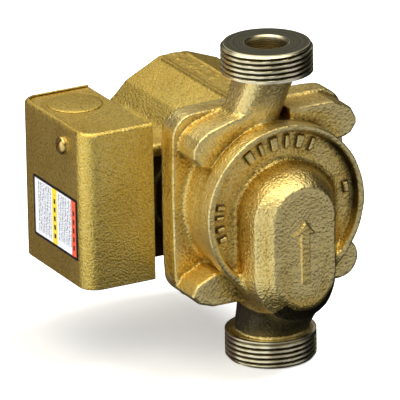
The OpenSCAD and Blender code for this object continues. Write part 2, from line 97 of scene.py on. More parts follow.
class Block:
    """A box of space sampled every `step` millimetres; x, y and up broadcast against each other."""

    def __init__(self, low, high, step):
        counts = [int(math.ceil((h - l) / step)) + 1 for l, h in zip(low, high)]
        axes = [l + step * np.arange(n, dtype=np.float32) for l, n in zip(low, counts)]
        self.low, self.step, self.shape = np.array(low), step, tuple(counts)
        self.x = axes[0][:, None, None]
        self.y = axes[1][None, :, None]
        self.z = axes[2][None, None, :]
        self.up = self.z - AXIS_Z

    def blur(self, field, sigma_mm):
        """Gaussian blur, done as a product of spectra."""
        spectrum = np.fft.rfftn(field)
        for axis, count in enumerate(self.shape):
            freq = np.fft.rfftfreq(count, self.step) if axis == 2 else np.fft.fftfreq(count, self.step)
            gain = np.exp(-2 * (math.pi * sigma_mm * freq) ** 2)
            spectrum *= gain.reshape([-1 if a == axis else 1 for a in range(3)])
        return np.fft.irfftn(spectrum, s=self.shape, axes=(0, 1, 2)).astype(np.float32)

    def roughness(self, seed, grain_mm):
        """Random waviness with a standard deviation of 1."""
        noise = np.random.default_rng(seed).standard_normal(self.shape).astype(np.float32)
        soft = self.blur(noise, grain_mm)
        return soft / soft.std()

    def sample(self, field, points):
        """Values of a field at points, from the nearest samples."""
        index = np.rint((points - self.low) / self.step).astype(int)
        index = np.clip(index, 0, np.array(self.shape) - 1)
        return field[index[:, 0], index[:, 1], index[:, 2]]


def join(a, b, k=0.0):
    """Union of two fields with a fillet of about k."""
    if k <= 0:
        return np.minimum(a, b)
    h = np.clip(0.5 + 0.5 * (b - a) / k, 0, 1)
    return b * (1 - h) + a * h - k * h * (1 - h)


def cut(a, b, k=0.0):
    """Field a with b taken away, and an edge rounded by about k."""
    return -join(-a, b, k)


def both(a, b, r=0.0):
    """Intersection of two fields with an edge radius of r."""
    inside = np.minimum(np.maximum(a + r, b + r), 0)
    return inside + np.sqrt(np.maximum(a + r, 0) ** 2 + np.maximum(b + r, 0) ** 2) - r


def between(value, low, high):
    return np.abs(value - (low + high) / 2) - (high - low) / 2


def rect(u, v, half_u, half_v, r=0.0):
    """Distance to a rounded rectangle about the origin of the plane (u, v)."""
    du, dv = np.abs(u) - half_u + r, np.abs(v) - half_v + r
    return np.sqrt(np.maximum(du, 0) ** 2 + np.maximum(dv, 0) ** 2) + np.minimum(np.maximum(du, dv), 0) - r


def from_segment(u, v, end_a, end_b):
    """Distance in the plane (u, v) to the segment between two points."""
    ax, ay = end_a
    dx, dy = end_b[0] - ax, end_b[1] - ay
    along = np.clip(((u - ax) * dx + (v - ay) * dy) / (dx * dx + dy * dy + 1e-9), 0, 1)
    return np.sqrt((u - ax - along * dx) ** 2 + (v - ay - along * dy) ** 2)


def polygon_field(u, v, corners):
    """Distance to a convex polygon whose corners run anticlockwise."""
    field = None
    for (ax, ay), (bx, by) in zip(corners, corners[1:] + corners[:1]):
        length = math.hypot(bx - ax, by - ay)
        side = ((by - ay) * (u - ax) - (bx - ax) * (v - ay)) / length
        field = side if field is None else np.maximum(field, side)
    return field


def ramp(value, start, end):
    return np.clip((value - start) / (end - start), 0, 1)


# ---- Meshes ----


def new_object(name, mesh):
    obj = bpy.data.objects.new(name, mesh)
    bpy.context.scene.collection.objects.link(obj)
    return obj


def mesh_from(name, points_mm, faces):
    mesh = bpy.data.meshes.new(name)
    mesh.from_pydata((np.asarray(points_mm, float) * MM).tolist(), [], faces)
    mesh.update()
    mesh.shade_smooth()
    return new_object(name, mesh)


def from_bmesh(name, bm, smooth_angle=None):
    bmesh.ops.recalc_face_normals(bm, faces=bm.faces)
    mesh = bpy.data.meshes.new(name)
    bm.to_mesh(mesh)
    bm.free()
    if smooth_angle is None:
        mesh.shade_smooth()
    else:
        mesh.set_sharp_from_angle(angle=math.radians(smooth_angle))
    return new_object(name, mesh)


def point_attribute(obj, name, values):
    attribute = obj.data.attributes.new(name, "FLOAT", "POINT")
    attribute.data.foreach_set("value", np.asarray(values, np.float32))


def casting(name, block, field, grime):
    """Mesh of a field's zero surface. How sunken each point is goes into `hollow`, which the materials turn into
    painted shade in creases and a painted highlight on ridges. The last argument, called on the points, marks painted
    shade and the dark seam; its values go into an attribute of the same name.
    """
    grid = openvdb.FloatGrid(10.0)
    grid.copyFromArray(np.ascontiguousarray(field, dtype=np.float32))
    grid.transform = openvdb.createLinearTransform(block.step)
    points, quads = grid.convertToQuads(0.0)
    points = points + block.low
    obj = mesh_from(name, points, quads[:, ::-1].tolist())
    near = np.clip(field, -2 * HOLLOW_MM, 2 * HOLLOW_MM)
    sunk = -block.sample(block.blur(near, HOLLOW_MM), points)
    point_attribute(obj, "hollow", np.clip(0.5 + sunk / HOLLOW_MM, 0, 1))
    point_attribute(obj, "grime", np.clip(grime(points), 0, 1))
    return obj


def rings(name, stations, hollow=None, closed=True):
    """Closed surface through a list of rings, each an array of points of the same length."""
    count, around = len(stations), len(stations[0])
    points = np.concatenate(stations)
    faces = []
    for i in range(count if closed else count - 1):
        j = (i + 1) % count
        for a in range(around):
            b = (a + 1) % around
            faces.append((i * around + a, i * around + b, j * around + b, j * around + a))
    obj = mesh_from(name, points, faces)
    if hollow is not None:
        point_attribute(obj, "hollow", np.concatenate(hollow))
    bm = bmesh.new()
    bm.from_mesh(obj.data)
    bmesh.ops.recalc_face_normals(bm, faces=bm.faces)
    bm.to_mesh(obj.data)
    bm.free()
    return obj


# ---- Materials ----


class Shader:
    """A material with a Principled shader and short calls for adding nodes to it."""

    def __init__(self, name, **sockets):
        self.material = bpy.data.materials.new(name)
        self.material.use_nodes = True
        self.tree = self.material.node_tree
        self.tree.nodes.clear()
        self.bsdf = self.tree.nodes.new("ShaderNodeBsdfPrincipled")
        output = self.tree.nodes.new("ShaderNodeOutputMaterial")
        self.tree.links.new(self.bsdf.outputs[0], output.inputs[0])
        for socket, value in sockets.items():
            self.bsdf.inputs[socket.replace("_", " ")].default_value = value
        self.place = self.node("TexCoord").outputs["Object"]

    def node(self, kind, **inputs):
        made = self.tree.nodes.new("ShaderNode" + kind)
        for socket, value in inputs.items():
            self.feed(made, socket.replace("_", " "), value)
        return made

    def feed(self, node, socket, value):
        target = node.inputs[int(socket) if socket.isdigit() else socket]
        if isinstance(value, bpy.types.NodeSocket):
            self.tree.links.new(value, target)
        else:
            target.default_value = value

    def math(self, operation, a, b=0.0):
        made = self.tree.nodes.new("ShaderNodeMath")
        made.operation = operation
        for index, value in enumerate((a, b)):
            self.feed(made, str(index), value)
        return made.outputs[0]

    def noise(self, grain_mm, detail=2.0, rough=0.55, vector=None):
        """Noise whose lumps are about grain_mm across."""
        made = self.node("TexNoise", Vector=vector or self.place, Scale=1 / (grain_mm * MM), Detail=detail,
                         Roughness=rough)
        return made.outputs["Fac"]

    def between(self, value, low, high, out_low=0.0, out_high=1.0):
        made = self.node("MapRange", Value=value)
        for socket, number in zip(("From Min", "From Max", "To Min", "To Max"), (low, high, out_low, out_high)):
            made.inputs[socket].default_value = number
        return made.outputs[0]

    def mix(self, share, a, b):
        made = self.tree.nodes.new("ShaderNodeMix")
        made.data_type = "RGBA"
        self.feed(made, "0", share)
        for index, value in ((6, a), (7, b)):
            if isinstance(value, bpy.types.NodeSocket):
                self.tree.links.new(value, made.inputs[index])
            else:
                made.inputs[index].default_value = (*value, 1.0)
        return made.outputs[2]

    def attribute(self, name):
        made = self.tree.nodes.new("ShaderNodeAttribute")
        made.attribute_name = name
        return made.outputs["Fac"]

    def colour(self, value):
        self.feed(self.bsdf, "Base Color", value)

    def roughness(self, value):
        self.feed(self.bsdf, "Roughness", value)

    def bump(self, height, depth_mm):
        made = self.node("Bump", Height=height, Distance=depth_mm * MM, Strength=1.0)
        self.feed(self.bsdf, "Normal", made.outputs[0])


def cast_bronze():
    s = Shader("cast_bronze", Metallic=1.0)
    blotch = s.noise(16, detail=3)
    grain = s.noise(1.3, detail=3, rough=0.65)
    fine = s.noise(0.9, detail=1)
    # Painted shade: colour darkened in creases and hollows. Painted highlight: colour lightened on ridges and raised
    # edges. Both follow the hollow attribute.
    sunk = s.between(s.attribute("hollow"), 0.5, 0.95)
    proud_highlight = s.between(s.attribute("hollow"), 0.5, 0.2)
    gold = s.mix(s.between(blotch, 0.35, 0.65), (0.82, 0.56, 0.12), (0.94, 0.70, 0.20))
    gold = s.mix(s.between(grain, 0.53, 0.36, 0.0, 0.9), gold, (0.40, 0.22, 0.035))
    gold = s.mix(s.between(fine, 0.54, 0.68, 0.0, 0.8), gold, (1.0, 0.84, 0.32))
    gold = s.mix(s.math("MULTIPLY", sunk, 0.85), gold, (0.12, 0.07, 0.025))
    gold = s.mix(s.math("MULTIPLY", proud_highlight, 0.6), gold, (1.0, 0.86, 0.42))
    # Near-black painted shade on the marked shaded places, together with the dark seam between the castings.
    gold = s.mix(s.math("MULTIPLY", s.attribute("grime"), 0.9), gold, (0.03, 0.035, 0.03))
    s.colour(gold)
    s.roughness(s.between(grain, 0.3, 0.7, 0.32, 0.44))
    s.bump(s.noise(1.2, detail=1), 0.42)
    return s.material


def machined_bronze():
    s = Shader("machined_bronze", Metallic=1.0)
    split = s.node("SeparateXYZ", Vector=s.place)
    turned = s.node("CombineXYZ", X=split.outputs[0], Y=split.outputs[1]).outputs[0]
    radius = s.tree.nodes.new("ShaderNodeVectorMath")
    radius.operation = "LENGTH"
    s.feed(radius, "0", turned)
    ring_place = s.node("CombineXYZ", X=radius.outputs["Value"], Y=split.outputs[2]).outputs[0]
    marks = s.noise(0.5, detail=2, vector=ring_place)
    stain = s.noise(5, detail=3)
    brass = s.mix(s.between(stain, 0.35, 0.65), (0.84, 0.74, 0.46), (1.0, 0.94, 0.70))
    # Painted shade in the thread roots and down the bore, from the hollow attribute.
    brass = s.mix(s.attribute("hollow"), brass, (0.035, 0.028, 0.015))
    tarnish = s.mix(s.between(marks, 0.35, 0.65), (0.07, 0.075, 0.05), (0.30, 0.29, 0.20))
    brass = s.mix(s.attribute("aged"), brass, tarnish)
    s.colour(brass)
    s.roughness(s.between(marks, 0.3, 0.7, 0.20, 0.36))
    s.bump(marks, 0.05)
    return s.material


def gold_paint(name="gold_paint", grain_mm=0.95):
    s = Shader(name, Metallic=1.0)
    cloud = s.noise(26, detail=2)
    grain = s.noise(grain_mm, detail=4, rough=0.65)
    speck = s.noise(0.8, detail=1)
    paint = s.mix(s.between(cloud, 0.35, 0.65), (0.88, 0.62, 0.12), (0.97, 0.72, 0.17))
    paint = s.mix(s.between(grain, 0.53, 0.37, 0.0, 0.7), paint, (0.46, 0.30, 0.06))
    paint = s.mix(s.between(speck, 0.54, 0.66, 0.0, 0.8), paint, (1.0, 0.84, 0.34))
    # Painted shade in creases, from the hollow attribute, then near-black painted shade on the marked places and the
    # seam.
    paint = s.mix(s.between(s.attribute("hollow"), 0.55, 0.95, 0.0, 0.9), paint, (0.05, 0.03, 0.012))
    paint = s.mix(s.math("MULTIPLY", s.attribute("grime"), 0.9), paint, (0.05, 0.03, 0.012))
    s.colour(paint)
    s.roughness(s.between(grain, 0.3, 0.7, 0.34, 0.46))
    s.bump(s.noise(grain_mm, detail=1), 0.30)
    return s.material


def plain_metal(name, base, rough, marks_mm=0.5, depth_mm=0.01, metallic=1.0):
    s = Shader(name, Metallic=metallic)
    marks = s.noise(marks_mm, detail=3)
    cloud = s.noise(9, detail=2)
    dark = tuple(c * 0.72 for c in base)
    s.colour(s.mix(cloud, dark, base))
    s.roughness(s.between(marks, 0.3, 0.7, rough * 0.8, rough * 1.25))
    s.bump(marks, depth_mm)
    return s.material


def plain_plastic(name, base, rough, depth_mm=0.02):
    return plain_metal(name, base, rough, marks_mm=0.6, depth_mm=depth_mm, metallic=0.0)


def banded(name, base, dark, pitch_mm, axis, metallic):
    """Fine layers along one axis, as in stacked laminations or wound wire."""
    s = Shader(name, Metallic=metallic, Roughness=0.42)
    split = s.node("SeparateXYZ", Vector=s.place)
    turn = s.math("MULTIPLY", split.outputs[axis], 2 * math.pi / (pitch_mm * MM))
    wave = s.between(s.math("SINE", turn), -1, 1)
    s.colour(s.mix(wave, dark, base))
    s.bump(wave, pitch_mm * 0.2)
    return s.material


def label_print():
    """A printed film: dark border, pale field, a yellow and a red band, and rows of plain grey strokes."""
    low, high = box_mm("cover_label")
    s = Shader("label_print", Roughness=0.32, Coat_Weight=0.3)
    split = s.node("SeparateXYZ", Vector=s.place)
    along = s.between(split.outputs[1], high[1] * MM, low[1] * MM)
    upward = s.between(split.outputs[2], low[2] * MM, high[2] * MM)

    def within(value, start, end):
        return s.math("MULTIPLY", s.math("GREATER_THAN", value, start), s.math("LESS_THAN", value, end))

    def area(along_span, upward_span):
        return s.math("MULTIPLY", within(along, *along_span), within(upward, *upward_span))

    rows = s.math("GREATER_THAN", s.math("SINE", s.math("MULTIPLY", along, 2 * math.pi * 26)), 0.1)
    letters = s.node("CombineXYZ", X=s.math("MULTIPLY", along, 26.0), Y=s.math("MULTIPLY", upward, 60.0)).outputs[0]
    strokes = s.node("TexNoise", Vector=letters, Scale=1.0, Detail=1.0).outputs["Fac"]
    strokes = s.math("MULTIPLY", s.math("GREATER_THAN", strokes, 0.47), rows)
    text_area = s.math("ADD", area((0.10, 0.40), (0.10, 0.93)), area((0.56, 0.86), (0.16, 0.92)))
    ink = s.math("MULTIPLY", strokes, text_area)
    film = s.mix(ink, (0.80, 0.83, 0.90), (0.10, 0.12, 0.17))
    film = s.mix(within(along, 0.43, 0.54), film, (0.90, 0.68, 0.02))
    film = s.mix(within(along, 0.87, 0.965), film, (0.80, 0.10, 0.035))
    bars = s.math("ADD", area((0.465, 0.505), (0.14, 0.86)), area((0.90, 0.935), (0.14, 0.86)))
    dashes = s.math("GREATER_THAN", s.math("SINE", s.math("MULTIPLY", upward, 2 * math.pi * 7)), -0.2)
    film = s.mix(s.math("MULTIPLY", bars, dashes), film, (0.03, 0.025, 0.02))
    field = area((0.035, 0.965), (0.045, 0.955))
    s.colour(s.mix(field, (0.006, 0.006, 0.007), film))
    s.bump(s.noise(3, detail=1), 0.02)
    return s.material


# ---- Pump housing ----


def flange_outline(block):
    """Square with round corners and slightly crowned edges."""
    crown = 1.6
    half_w, half_h = FLANGE_W / 2, FLANGE_H / 2
    bow_x = crown * (block.up / half_h) ** 4
    bow_up = crown * (block.x / half_w) ** 4
    return rect(block.x, block.up, half_w - bow_x, half_h - bow_up, 9.0)


def volute_field(block):
    """Round body with a raised rim round its sunken front."""
    r = np.sqrt(block.x**2 + block.up**2)
    body = both(r - 38.3, between(block.y, -13.0, 11.0), 1.5)
    rim = rect(r - 38.5, block.y + 12.6, 1.75, 5.0, 1.1)
    shoulder = both(r - 39.4 + 0.12 * (block.y + 14), between(block.y, -14.0, -4.0), 2.0)
    shoulder = both(shoulder, 37.0 - r)
    body = join(body, shoulder, 1.5)
    return join(body, rim, 1.6), r


def hump_field(block):
    """Suction hump: a flat face with round ends. Its left and lower flanks step out further than the others."""
    depth = block.y - BOSS_FRONT
    top_up, low_up = 0.4, -25.7
    off_up = block.up - np.clip(block.up, low_up, top_up)
    core = np.sqrt(block.x**2 + off_up**2) + 1e-6
    skirt = np.maximum(ramp(-block.x / core, 0.0, 0.65), ramp(-off_up / core, 0.15, 0.8))
    crown = ramp(off_up / core, 0.25, 0.95)
    cone = 15.4 + 0.50 * depth
    stepped = 15.4 + 7.3 * ramp(depth, 0, 6.4) + 1.3 * ramp(depth, 6.4, 16)
    domed = 15.4 + 6.3 * (1 - (1 - ramp(depth, 0, 15)) ** 2)
    flare = cone * (1 - skirt) + stepped * skirt
    flare = flare * (1 - crown) + domed * crown
    return both((core - flare) * 0.78, between(block.y, BOSS_FRONT, 6.0), 0.9)


def lower_neck_field(block):
    """Funnel from the hump and the flange down to the inlet collar."""
    t = ramp(block.z, COLLAR_H, 49.0)
    front = -17.2 - 17.0 * ramp(block.z, COLLAR_H, 33.5)
    rear = 16.4 - 2.2 * ramp(block.z, COLLAR_H, 30.0)
    r = 17.0 - 1.9 * t
    span = np.abs(block.y - (front + rear) / 2) - (rear - front) / 2 + r
    section = np.sqrt(block.x**2 + np.maximum(span, 0) ** 2) - r
    neck = both(section * 0.86, between(block.z, COLLAR_H - 1.0, 52.0), 0.5)
    ledge = np.sqrt(block.x**2 + block.y**2) - (THREAD_R - 1.4)
    ledge = both(ledge, between(block.z, COLLAR_H - 1, COLLAR_H + 0.2), 0.3)
    return join(neck, ledge, 2.0)


def upper_neck_field(block):
    """Rounded-square neck that leans to the left and away from the front on its way down, flush at the rear."""
    top = PORT_LENGTH - COLLAR_H
    fall = top - block.z
    half_w, front_r, rear_r = 12.6, 8.0, 3.0
    side = np.abs(block.x + 0.45 + 0.32 * fall) - half_w
    section = None
    for face, r in ((-12.3 + 0.25 * fall - block.y, front_r), (block.y - 9.8, rear_r)):
        corner = both(side, face + 0 * side, r)
        section = corner if section is None else np.maximum(section, corner)
    pipe = np.sqrt((block.x + 0.29 * fall) ** 2 + (block.y - 0.13 * fall) ** 2) - 11.0
    neck = both(join(section * 0.95, pipe, 2.0), between(block.z, AXIS_Z + 30, top + 1.0), 0.5)
    ledge = both(np.sqrt(block.x**2 + block.y**2) - 15.5, between(block.z, top - 0.3, top + 1.0), 0.3)
    return join(neck, ledge, 1.5)


def ears_field(block):
    """Four screw ears of unlike outlines, each running in behind the round body."""
    outlines = [
        [(-38.5, 24), (-30, 21.5), (-12, 24), (-12, 45), (-20.4, 43.7), (-33.6, 39.9), (-38.6, 36.3), (-41.2, 32),
         (-41.3, 28)],
        [(8, 20), (36.4, 25.4), (39.6, 26.8), (42.3, 30.7), (42.4, 33.5), (39.7, 39), (30.5, 43.4), (8, 43.6)],
        [(-31, -28), (-40.5, -32.5), (-43.4, -37.5), (-39.8, -41.6), (-32.7, -44), (-12, -44.3), (-12, -28)],
        [(8, -44), (32.9, -42.4), (32.9, -23.2), (8, -25)],
    ]
    field = np.sqrt((block.x - 32.9) ** 2 + (block.up + 32.8) ** 2) - 9.6
    for outline in outlines:
        field = join(field, polygon_field(block.x, block.up, outline), 0.8)
    return both(field, between(block.y, -7.0, 11.0), 1.3)


def casting_marks_field(block, r):
    """Plain raised dashes on the sunken floor, in place of foundry marks."""
    angle = np.degrees(np.arctan2(block.up, block.x))
    field = None
    top = [(a, 1.2 + 0.7 * (i % 2), 3.1) for i, a in enumerate((62, 74, 86, 98, 110, 122))]
    left = [(a, 1.2, 2.0) for a in (170, 179, 188, 197)]
    for centre, half_along, half_across in top + [(8, 2.6, 1.3)] + left:
        reach = 31.6 if half_across > 2 else 32.4
        around = np.radians(angle - centre + (360 if centre > 180 else 0) * (angle < 0)) * reach
        dash = rect(around, r - reach, half_along, half_across, 0.5)
        field = dash if field is None else np.minimum(field, dash)
    return both(field, between(block.y, -15.1, -10.0), 0.3)


def water_way_field(block, r):
    """The hollow that the impeller and the water need."""
    chamber = both(r - 33.0, between(block.y, -8.0, 30.0))
    seat = both(r - 40.4, between(block.y, 12.0, 30.0))
    eye = both(r - 14.5, between(block.y, -12.0, 0.0))
    passage = both(r - 10.9, between(block.y, -28.0, -8.0))
    bore = np.sqrt(block.x**2 + block.y**2) - BORE_R
    straight = COLLAR_H + 2
    outlet = both(bore, PORT_LENGTH - straight - block.z)
    fall = np.clip((PORT_LENGTH - COLLAR_H - block.z) / 31.0, 0, 1.02)
    leaning = np.sqrt((block.x + 9.0 * fall) ** 2 + (block.y - 4.0 * fall) ** 2) - 9.0
    leaning = both(leaning, between(block.z, AXIS_Z + 29, PORT_LENGTH - COLLAR_H))
    inlet = both(bore, block.z - 18.0)
    bend_z, hump_y, way_r = 42.0, -21.0, 9.0
    lane = from_segment(block.y, block.z, (0, COLLAR_H), (hump_y, bend_z))
    climb = from_segment(block.y, block.z, (hump_y, bend_z), (hump_y, AXIS_Z))
    way = np.sqrt(block.x**2 + np.minimum(lane, climb) ** 2) - way_r
    field = chamber
    for other in (seat, eye, passage, outlet, leaning, inlet, way):
        field = np.minimum(field, other)
    return field


def joint_grime(points):
    """The seam between the two castings."""
    return 0.85 * ramp(np.abs(points[:, 1] - JOINT_Y), 1.0, 0.5) * (np.abs(points[:, 2] - AXIS_Z) < FLANGE_H / 2 + 3)


def housing_grime(points):
    """Painted shade: on the lower neck below the hump, on the right of the dish wall, at the feet of the raised
    marks, and round the arrow, darker on its right side. Also the dark seam between the two castings.
    """
    x, y, up = points[:, 0], points[:, 1], points[:, 2] - AXIS_Z
    below = -25.7 - up
    arc_end = np.where(x > 0, 0.25 * x, 1.3 * -x)
    lower_flank = (below > arc_end) & (np.hypot(x, below) > 16.0) & (y > BOSS_FRONT + 0.7)
    neck = (lower_flank | (up < -48.5)) & (np.abs(x) < 22) & (y < 8.5) & (points[:, 2] > COLLAR_H + 1.4)
    r, turn = np.hypot(x, up), np.degrees(np.arctan2(up, x))
    wall = ramp(r, 33.2, 36.2) * ramp(r, 38.3, 37.5) * ramp(y, -17.5, -16.7) * (y < -10)
    wall = wall * ramp(turn, -28, -8) * ramp(turn, 66, 44)
    marks = casting_marks_field(SimpleNamespace(x=x, y=y, up=up), r)
    feet = 0.9 * ramp(marks, 0.9, 0.3) * (y > -14.3) * (y < -10)
    from_arrow = polygon_field(x - ARROW_X, up, ARROW)
    shade = np.where(x > ARROW_X, 0.85, 0.35)
    arrow = shade * ramp(from_arrow, 1.0, 0.4) * (y < BOSS_FRONT + 0.8)
    return np.maximum.reduce([1.0 * neck, wall, feet, arrow, joint_grime(points)])


def build_pump_housing(material):
    margin = 1.5
    low = [housing_low[0] - margin, housing_low[1] - margin, COLLAR_H - 1 - margin]
    high = [housing_high[0] + margin, THREAD_R, PORT_LENGTH - COLLAR_H + 1 + margin]
    block = Block(low, high, HOUSING_STEP)
    volute, r = volute_field(block)
    flange = both(flange_outline(block), between(block.y, 9.0, JOINT_Y + 2), 1.0)
    body = join(volute, flange, 3.0)
    body = join(body, ears_field(block), 1.6)
    body = join(body, upper_neck_field(block), 3.0)
    body = join(body, lower_neck_field(block), 2.5)
    body = join(body, casting_marks_field(block, r), 0.5)
    body = join(body, hump_field(block), 3.5)
    waves = np.clip(block.roughness(seed=7, grain_mm=3.0), -2, 2)
    body = body + 0.07 * waves + 0.17
    joint_half_h = FLANGE_H / 2 + 3
    body = both(body, np.where(np.abs(block.up) < joint_half_h, block.y - JOINT_Y, block.y - THREAD_R), 0.9)
    body = cut(body, water_way_field(block, r))
    screw = FLANGE_SCREW_OFFSET
    hole = np.sqrt((np.abs(block.x) - screw) ** 2 + (np.abs(block.up) - screw) ** 2) - 3.1
    body = cut(body, both(hole, -3.5 - block.y))
    obj = casting("housing_casting", block, body, housing_grime)
    obj.data.materials.append(material)
    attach(obj, "pump_body")
    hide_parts("pump_housing")
    return obj


def inset(corners, distance):
    """An anticlockwise outline moved inward on every side."""
    moved = []
    for before, here, after in zip(corners[-1:] + corners[:-1], corners, corners[1:] + corners[:1]):
        one = np.subtract(here, before) / np.linalg.norm(np.subtract(here, before))
        two = np.subtract(after, here) / np.linalg.norm(np.subtract(after, here))
        inward = np.array([-one[1] - two[1], one[0] + two[0]])
        moved.append(tuple(here + distance * inward / (1 + one @ two)))
    return moved


def build_arrow(material):
    """Raised flow arrow on the flat face, bevelled all round."""
    layers = [(ARROW, BOSS_FRONT + 0.5), (ARROW, BOSS_FRONT - 0.2), (inset(ARROW, 0.75), BOSS_FRONT - 0.85)]
    bm = bmesh.new()
    rows = [[bm.verts.new(Vector((ARROW_X + x, y, AXIS_Z + up)) * MM) for x, up in corners] for corners, y in layers]
    count = len(ARROW)
    for one, other in zip(rows, rows[1:]):
        for i in range(count):
            bm.faces.new((one[i], one[(i + 1) % count], other[(i + 1) % count], other[i]))
    bm.faces.new(rows[0][::-1])
    bm.faces.new(rows[-1])
    obj = from_bmesh("flow_arrow", bm, smooth_angle=10)
    # A hollow value under one half gives the raised arrow a painted highlight in the bronze colour.
    point_attribute(obj, "hollow", [0.35] * len(obj.data.vertices))
    obj.data.materials.append(material)
    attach(obj, "pump_body")


def build_collar(name, face_z, inward, material):
    """Threaded collar of a port. `inward` is +1 or -1, the way along Z from its face to the casting."""
    pitch, crest_r, root_r = THREAD_PITCH, THREAD_R, THREAD_R - THREAD_DEPTH
    around, rows = 192, 84
    theta = np.linspace(0, 2 * math.pi, around, endpoint=False)
    chamfer = 0.8

    def ring(radius, depth):
        radius = radius + 0 * theta
        return np.stack([radius * np.cos(theta), radius * np.sin(theta), face_z + inward * depth + 0 * theta], 1)

    stations, hollow, aged = [], [], []

    # The third value sets painted shade: it darkens the colour in the thread roots and down the bore.
    def station(radius, depth, sunk=0.0, age=0.0):
        stations.append(ring(radius, depth))
        hollow.append(np.clip(sunk + 0 * theta, 0, 1))
        aged.append(age + 0 * theta)

    station(crest_r - 1.45, 0.0)
    station(crest_r - 1.2, 0.12)
    for depth in np.linspace(0.4, COLLAR_H - 0.3, rows):
        phase = inward * depth / pitch - theta / (2 * math.pi)
        wave = np.abs(2 * (phase % 1) - 1)
        tooth = np.clip((wave - 0.12) / 0.52, 0, 1)
        tooth = tooth * tooth * (3 - 2 * tooth)
        fade = np.clip((COLLAR_H - 0.6 - depth) / 1.6, 0, 1)
        tooth = 1 - (1 - tooth) * fade
        radius = root_r + (crest_r - root_r) * tooth
        entry = crest_r - 1.2 + (depth - 0.4) * 1.1
        radius = np.minimum(radius, np.maximum(entry, root_r))
        station(radius, depth, (1 - tooth) * 0.97)
    station(crest_r - 0.5, COLLAR_H - 0.1)
    station(crest_r - 1.2, COLLAR_H)
    station(BORE_R + 1.0, COLLAR_H)
    station(BORE_R, COLLAR_H - 0.6, 0.5)
    for depth in np.linspace(COLLAR_H - 2.0, chamfer + 0.15, 6):
        station(BORE_R, depth, 0.35)
    station(BORE_R + 0.06, chamfer, 0.1)
    station(BORE_R + chamfer - 0.06, 0.08)
    station(BORE_R + chamfer, 0.0)
    for radius in np.linspace(BORE_R + chamfer + 0.3, crest_r - 1.7, 12):
        station(radius, 0.0, age=1.0)
    obj = rings(name, stations, hollow)
    point_attribute(obj, "aged", np.concatenate(aged))
    obj.data.materials.append(material)
    obj.data.set_sharp_from_angle(angle=math.radians(38))
    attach(obj, "pump_body")
    return obj


# ---- Motor ----


def motor_outline(block):
    """Flats joined by slanting facets, with a fuller shoulder at the upper right."""
    half = 42.5
    left = [(-6.0, half), (-23.6, 33.6), (-33.8, 24.0), (-half, 7.0)]
    right = [(7.9, half), (24.0, 36.6), (34.5, 27.0), (half, 8.0)]
    corners = left + [(x, -u) for x, u in left[::-1]] + [(x, -u) for x, u in right] + right[::-1]
    return polygon_field(block.x, block.up, corners)


def build_motor_housing():
    margin = 1.6
    low = [motor_low[0] - margin, JOINT_Y - margin, motor_low[2] - margin]
    block = Block(low, motor_high + margin, MOTOR_STEP)
    flange_rear = 19.6
    r = np.sqrt(block.x**2 + block.up**2)
    flange = both(flange_outline(block), between(block.y, JOINT_Y, flange_rear), 1.3)
    outline = motor_outline(block)
    prism = both(outline, between(block.y, flange_rear - 2, MOTOR_REAR - 1.2), 0.4)
    cap = both(r - 38.0, between(block.y, MOTOR_REAR - 6, MOTOR_REAR), 1.5)
    body = join(join(flange, prism, 2.0), cap, 1.5)
    for side in (-1, 1):
        bead = rect(block.x - side * 6.6, block.up - 42.2, 0.75, 0.9, 0.7)
        body = join(body, both(bead, between(block.y, flange_rear, MOTOR_REAR - 6), 0.6), 0.6)
    lumps = 0.24 * block.roughness(seed=11, grain_mm=1.0)
    strip = both(np.abs(block.x - 1.8) - 3.2, 40.0 - block.up) < 0
    body = body - np.where(strip, np.abs(lumps), 0)
    pad_y = (28.0, cover_high[1] - 5.0)
    pad = rect(block.y - sum(pad_y) / 2, block.up + 2.5, (pad_y[1] - pad_y[0]) / 2, 27.4, 3.0)
    body = join(body, both(pad, between(block.x, motor_low[0], -30.0), 0.5), 2.5)
    body = body + 0.05 * np.clip(block.roughness(seed=5, grain_mm=3.5), -2, 2) + 0.1
    body = both(body, motor_low[0] - block.x)
    body = both(body, JOINT_Y - block.y)
    body = cut(body, both(r - 37.4, between(block.y, 0.0, MOTOR_REAR - 5)))
    body = cut(body, both(r - 7.8, MOTOR_REAR - 8 - block.y))
    seat = both(r - 32.0, MOTOR_REAR - block.y - 0.35)
    body = cut(body, seat, 0.3)
    lead = np.sqrt((block.y - 50.0) ** 2 + block.up**2) - 5.0
    body = cut(body, both(lead, block.x + 35.4))
    screw = FLANGE_SCREW_OFFSET
    from_screw = np.sqrt((np.abs(block.x) - screw) ** 2 + (np.abs(block.up) - screw) ** 2)
    body = cut(body, both(from_screw - 5.6, flange_rear - block.y), 0.4)
    body = cut(body, both(from_screw - 3.3, block.y - 25))

    def grime(points):
        """The seam, and painted shade in the narrow gap beside the terminal box."""
        x, y, z = points.T
        gap = (x < -36.0) * (y > flange_rear + 0.3) * (y < MOTOR_REAR - 20) * (z < AXIS_Z + 20.0)
        return joint_grime(points) + gap

    obj = casting("motor_casting", block, body, grime)
    obj.data.materials.append(gold_paint("motor_paint", grain_mm=1.0))
    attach(obj, "pump_body")
    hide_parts("motor_housing")
    return obj


# ---- Terminal box ----


def arc(centre, radius, start_deg, end_deg, steps):
    angles = np.radians(np.linspace(start_deg, end_deg, steps + 1))
    return [(centre[0] + radius * math.cos(a), centre[1] + radius * math.sin(a)) for a in angles]


